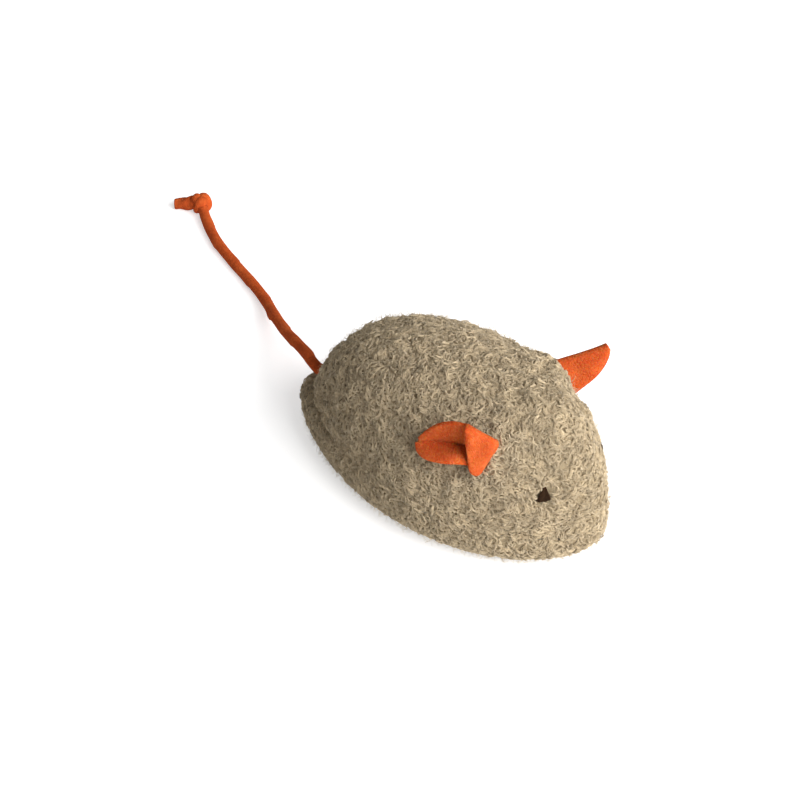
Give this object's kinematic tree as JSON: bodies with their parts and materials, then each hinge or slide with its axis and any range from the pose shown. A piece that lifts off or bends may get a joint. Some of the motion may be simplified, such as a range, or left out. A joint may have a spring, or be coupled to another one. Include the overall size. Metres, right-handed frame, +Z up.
{
  "type": "catnip mouse cat toy",
  "caption": "Stuffed pet-toy mouse with a looped-pile body on a plump sewn base, folding felt ears, stitched eyes and a limp rolled tail knotted near its end.",
  "frame": {"origin": "on the flat underside of the base, under the middle of the body", "axes": "+X towards the nose, +Y towards the mouse's left side, +Z up"},
  "size_m": [0.1725, 0.07, 0.0429],
  "materials": {
    "pile_cloth": "beige looped pile of curly yarn",
    "fibre": "white stuffing fibre",
    "herb": "dried and cut catnip leaf",
    "pale_thread": "sewing thread",
    "felt": "orange felt, matt, with a soft nap",
    "dark_thread": "dark brown satin stitch",
    "tail_felt": "orange felt strip, rolled and twisted"
  },
  "bodies": {
    "body": {"body_cover": "pile_cloth", "base_cover": "pile_cloth", "stuffing": "fibre", "catnip_fill": "herb", "seam_thread": "pale_thread", "right_ear_tab": "felt", "left_ear_tab": "felt", "right_eye": "dark_thread", "left_eye": "dark_thread", "tail_hold": "tail_felt"},
    "right_ear": {"right_ear": "felt"},
    "left_ear": {"left_ear": "felt"},
    "tail_root": {"tail_start": "tail_felt"},
    "tail": {"tail": "tail_felt", "tail_knot": "tail_felt"}
  },
  "joints": [
    {"name": "right_ear_fold", "type": "hinge", "parent": "body", "child": "right_ear", "pos_m": [0.0242, -0.01807, 0.03354], "axis": [0.2061, 0.5632, 0.8002], "range_deg": [0, 110], "stiffness_Nm_per_rad": 0.0005},
    {"name": "left_ear_fold", "type": "hinge", "parent": "body", "child": "left_ear", "pos_m": [0.02257, 0.01785, 0.03515], "axis": [0.706, 0.0947, -0.7018], "range_deg": [-70, 40], "stiffness_Nm_per_rad": 0.0005},
    {"name": "tail_swing", "type": "hinge", "parent": "body", "child": "tail_root", "pos_m": [-0.04165, 0, 0.0131], "axis": [0, 0, 1], "range_deg": [-45, 100]},
    {"name": "tail_lift", "type": "hinge", "parent": "tail_root", "child": "tail", "pos_m": [-0.0474, 0.00265, 0.01255], "axis": [0.475, 0.88, 0], "range_deg": [0, 80]}
  ]
}
